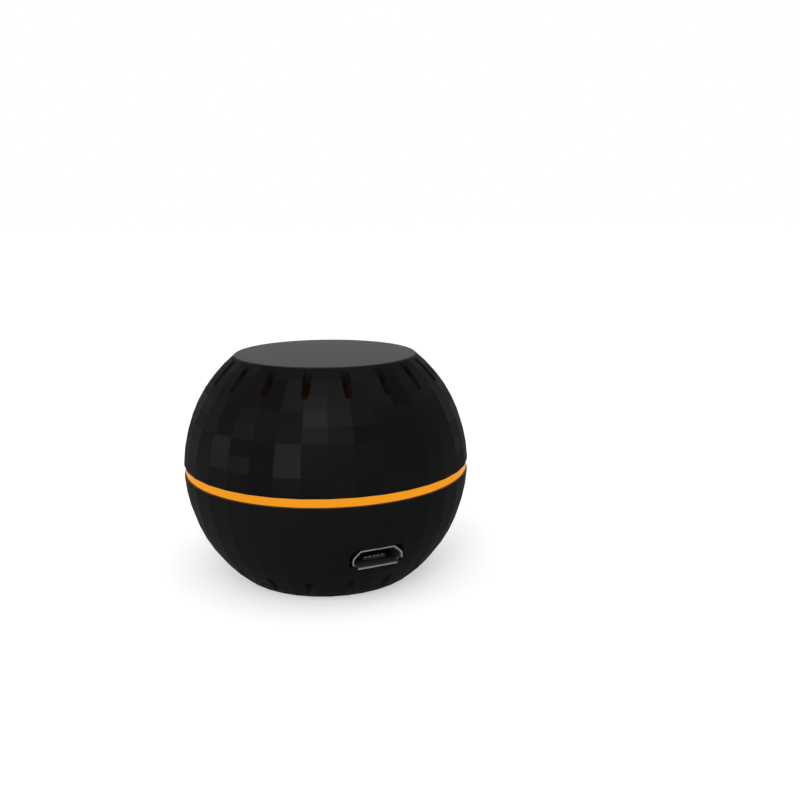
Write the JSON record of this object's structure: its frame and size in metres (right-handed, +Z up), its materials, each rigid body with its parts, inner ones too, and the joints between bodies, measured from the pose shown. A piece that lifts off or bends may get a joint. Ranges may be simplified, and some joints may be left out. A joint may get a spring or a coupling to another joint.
{
  "type": "room climate sensor",
  "caption": "Small faceted ball-shaped room climate sensor with a glowing middle ring and vent slots, twisted onto a USB power base.",
  "frame": {"origin": "middle of the foot pad's underside, on the surface that the base stands on", "axes": "+Z up along the ball's axis, -Y towards the micro-USB socket"},
  "size_m": [0.045, 0.045, 0.035],
  "materials": {
    "casing": "fine satin moulding",
    "light_guide": "frosted, lit from inside",
    "inner_plastic": "moulded",
    "circuit_board": "solder mask",
    "led_body": "moulded",
    "chip_plastic": "moulded epoxy",
    "tinned_can": "tinned",
    "gilt": "thin gold plating",
    "capacitor_ceramic": "matt with tinned ends",
    "button_plastic": "moulded",
    "spring_steel": "bright wire",
    "screw_steel": "zinc plated",
    "foot_rubber": "matt",
    "socket_nickel": "nickel plated"
  },
  "bodies": {
    "base": {"base_shell": "casing", "base_cover": "inner_plastic", "foot_pad": "foot_rubber", "power_board": "circuit_board", "usb_shell": "socket_nickel", "usb_tongue": "inner_plastic", "usb_contacts": "gilt", "power_converter": "chip_plastic", "power_inductor": "chip_plastic", "power_capacitors": "capacitor_ceramic", "input_fuse": "capacitor_ceramic", "pin_block": "inner_plastic", "pin_barrels": "gilt", "centre_pin_spring": "spring_steel", "outer_pin_spring": "spring_steel", "base_screws": "screw_steel"},
    "upper_half": {"upper_shell": "casing", "light_ring": "light_guide", "carrier_ring": "inner_plastic", "main_board": "circuit_board", "status_leds": "led_body", "climate_sensor": "chip_plastic", "radio_module": "circuit_board", "radio_chip": "chip_plastic", "radio_shield": "tinned_can", "radio_antenna": "gilt", "main_regulator": "chip_plastic", "main_capacitors": "capacitor_ceramic", "contact_disc": "gilt", "contact_ring": "gilt", "button_housing": "chip_plastic", "button_dome": "spring_steel", "upper_screws": "screw_steel"},
    "setup_button": {"setup_button": "button_plastic"},
    "centre_pin": {"centre_pin": "gilt"},
    "outer_pin": {"outer_pin": "gilt"}
  },
  "joints": [
    {"name": "half_twist", "type": "hinge", "parent": "base", "child": "upper_half", "pos_m": [0, 0, 0.0175], "axis": [0, 0, 1], "range_deg": [0, 20]},
    {"name": "button_press", "type": "slide", "parent": "upper_half", "child": "setup_button", "axis": [0, 0, 1], "range_m": [0, 0.00025], "stiffness_N_per_m": 2000, "springref_m": -0.0002, "deforming": ["button_dome"]},
    {"name": "centre_pin_slide", "type": "slide", "parent": "base", "child": "centre_pin", "axis": [0, 0, 1], "range_m": [-0.0005, 0], "stiffness_N_per_m": 300, "springref_m": 0.0006, "deforming": ["centre_pin_spring"]},
    {"name": "outer_pin_slide", "type": "slide", "parent": "base", "child": "outer_pin", "axis": [0, 0, 1], "range_m": [-0.0005, 0], "stiffness_N_per_m": 300, "springref_m": 0.0006, "deforming": ["outer_pin_spring"]}
  ]
}
